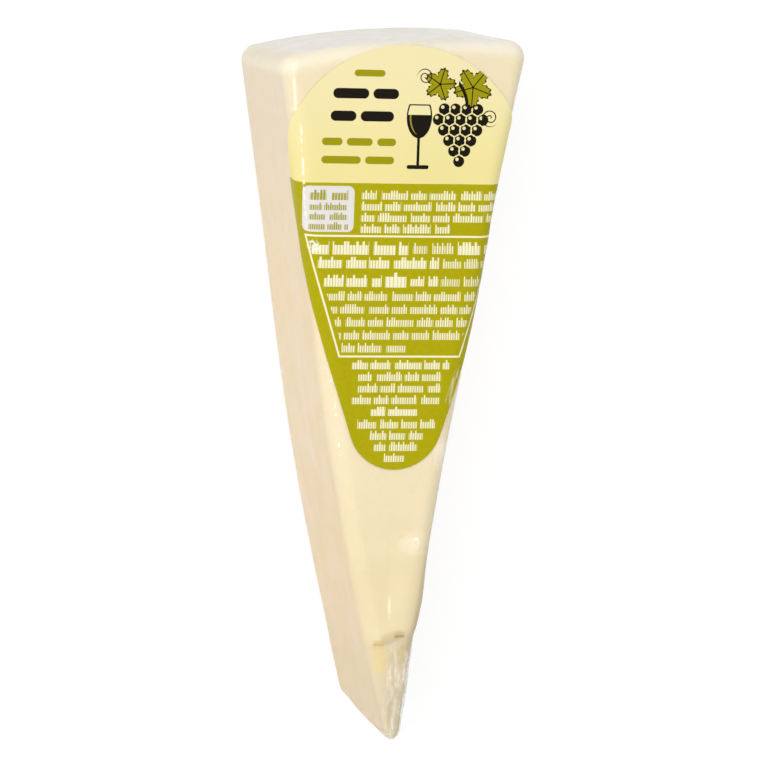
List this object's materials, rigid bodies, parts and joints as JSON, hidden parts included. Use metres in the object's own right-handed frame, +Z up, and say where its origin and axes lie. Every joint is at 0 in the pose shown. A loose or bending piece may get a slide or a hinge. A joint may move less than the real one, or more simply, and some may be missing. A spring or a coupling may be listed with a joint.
{
  "type": "wine-soaked cheese wedge in clear film",
  "caption": "Narrow pointed wedge of pale wine-soaked cheese, wrapped tight in clear film, with a cone-shaped paper label folded over both long edges.",
  "frame": {"origin": "middle of the underside's bounding rectangle, on the surface that the wedge lies on", "axes": "+Y from the point towards the rind, +X to the right seen from above with the rind away from the viewer, +Z up through the label"},
  "size_m": [0.0568, 0.162, 0.0422],
  "materials": {
    "cheese": "smooth pale cream paste with a slightly greyer rind, seen through film",
    "label": "coated paper, pale yellow above and olive green below, under film",
    "film": "clear gloss cling film, tight and finely wrinkled"
  },
  "bodies": {
    "root": {"wrapped_wedge": "cheese", "label": "label"}
  },
  "joints": []
}
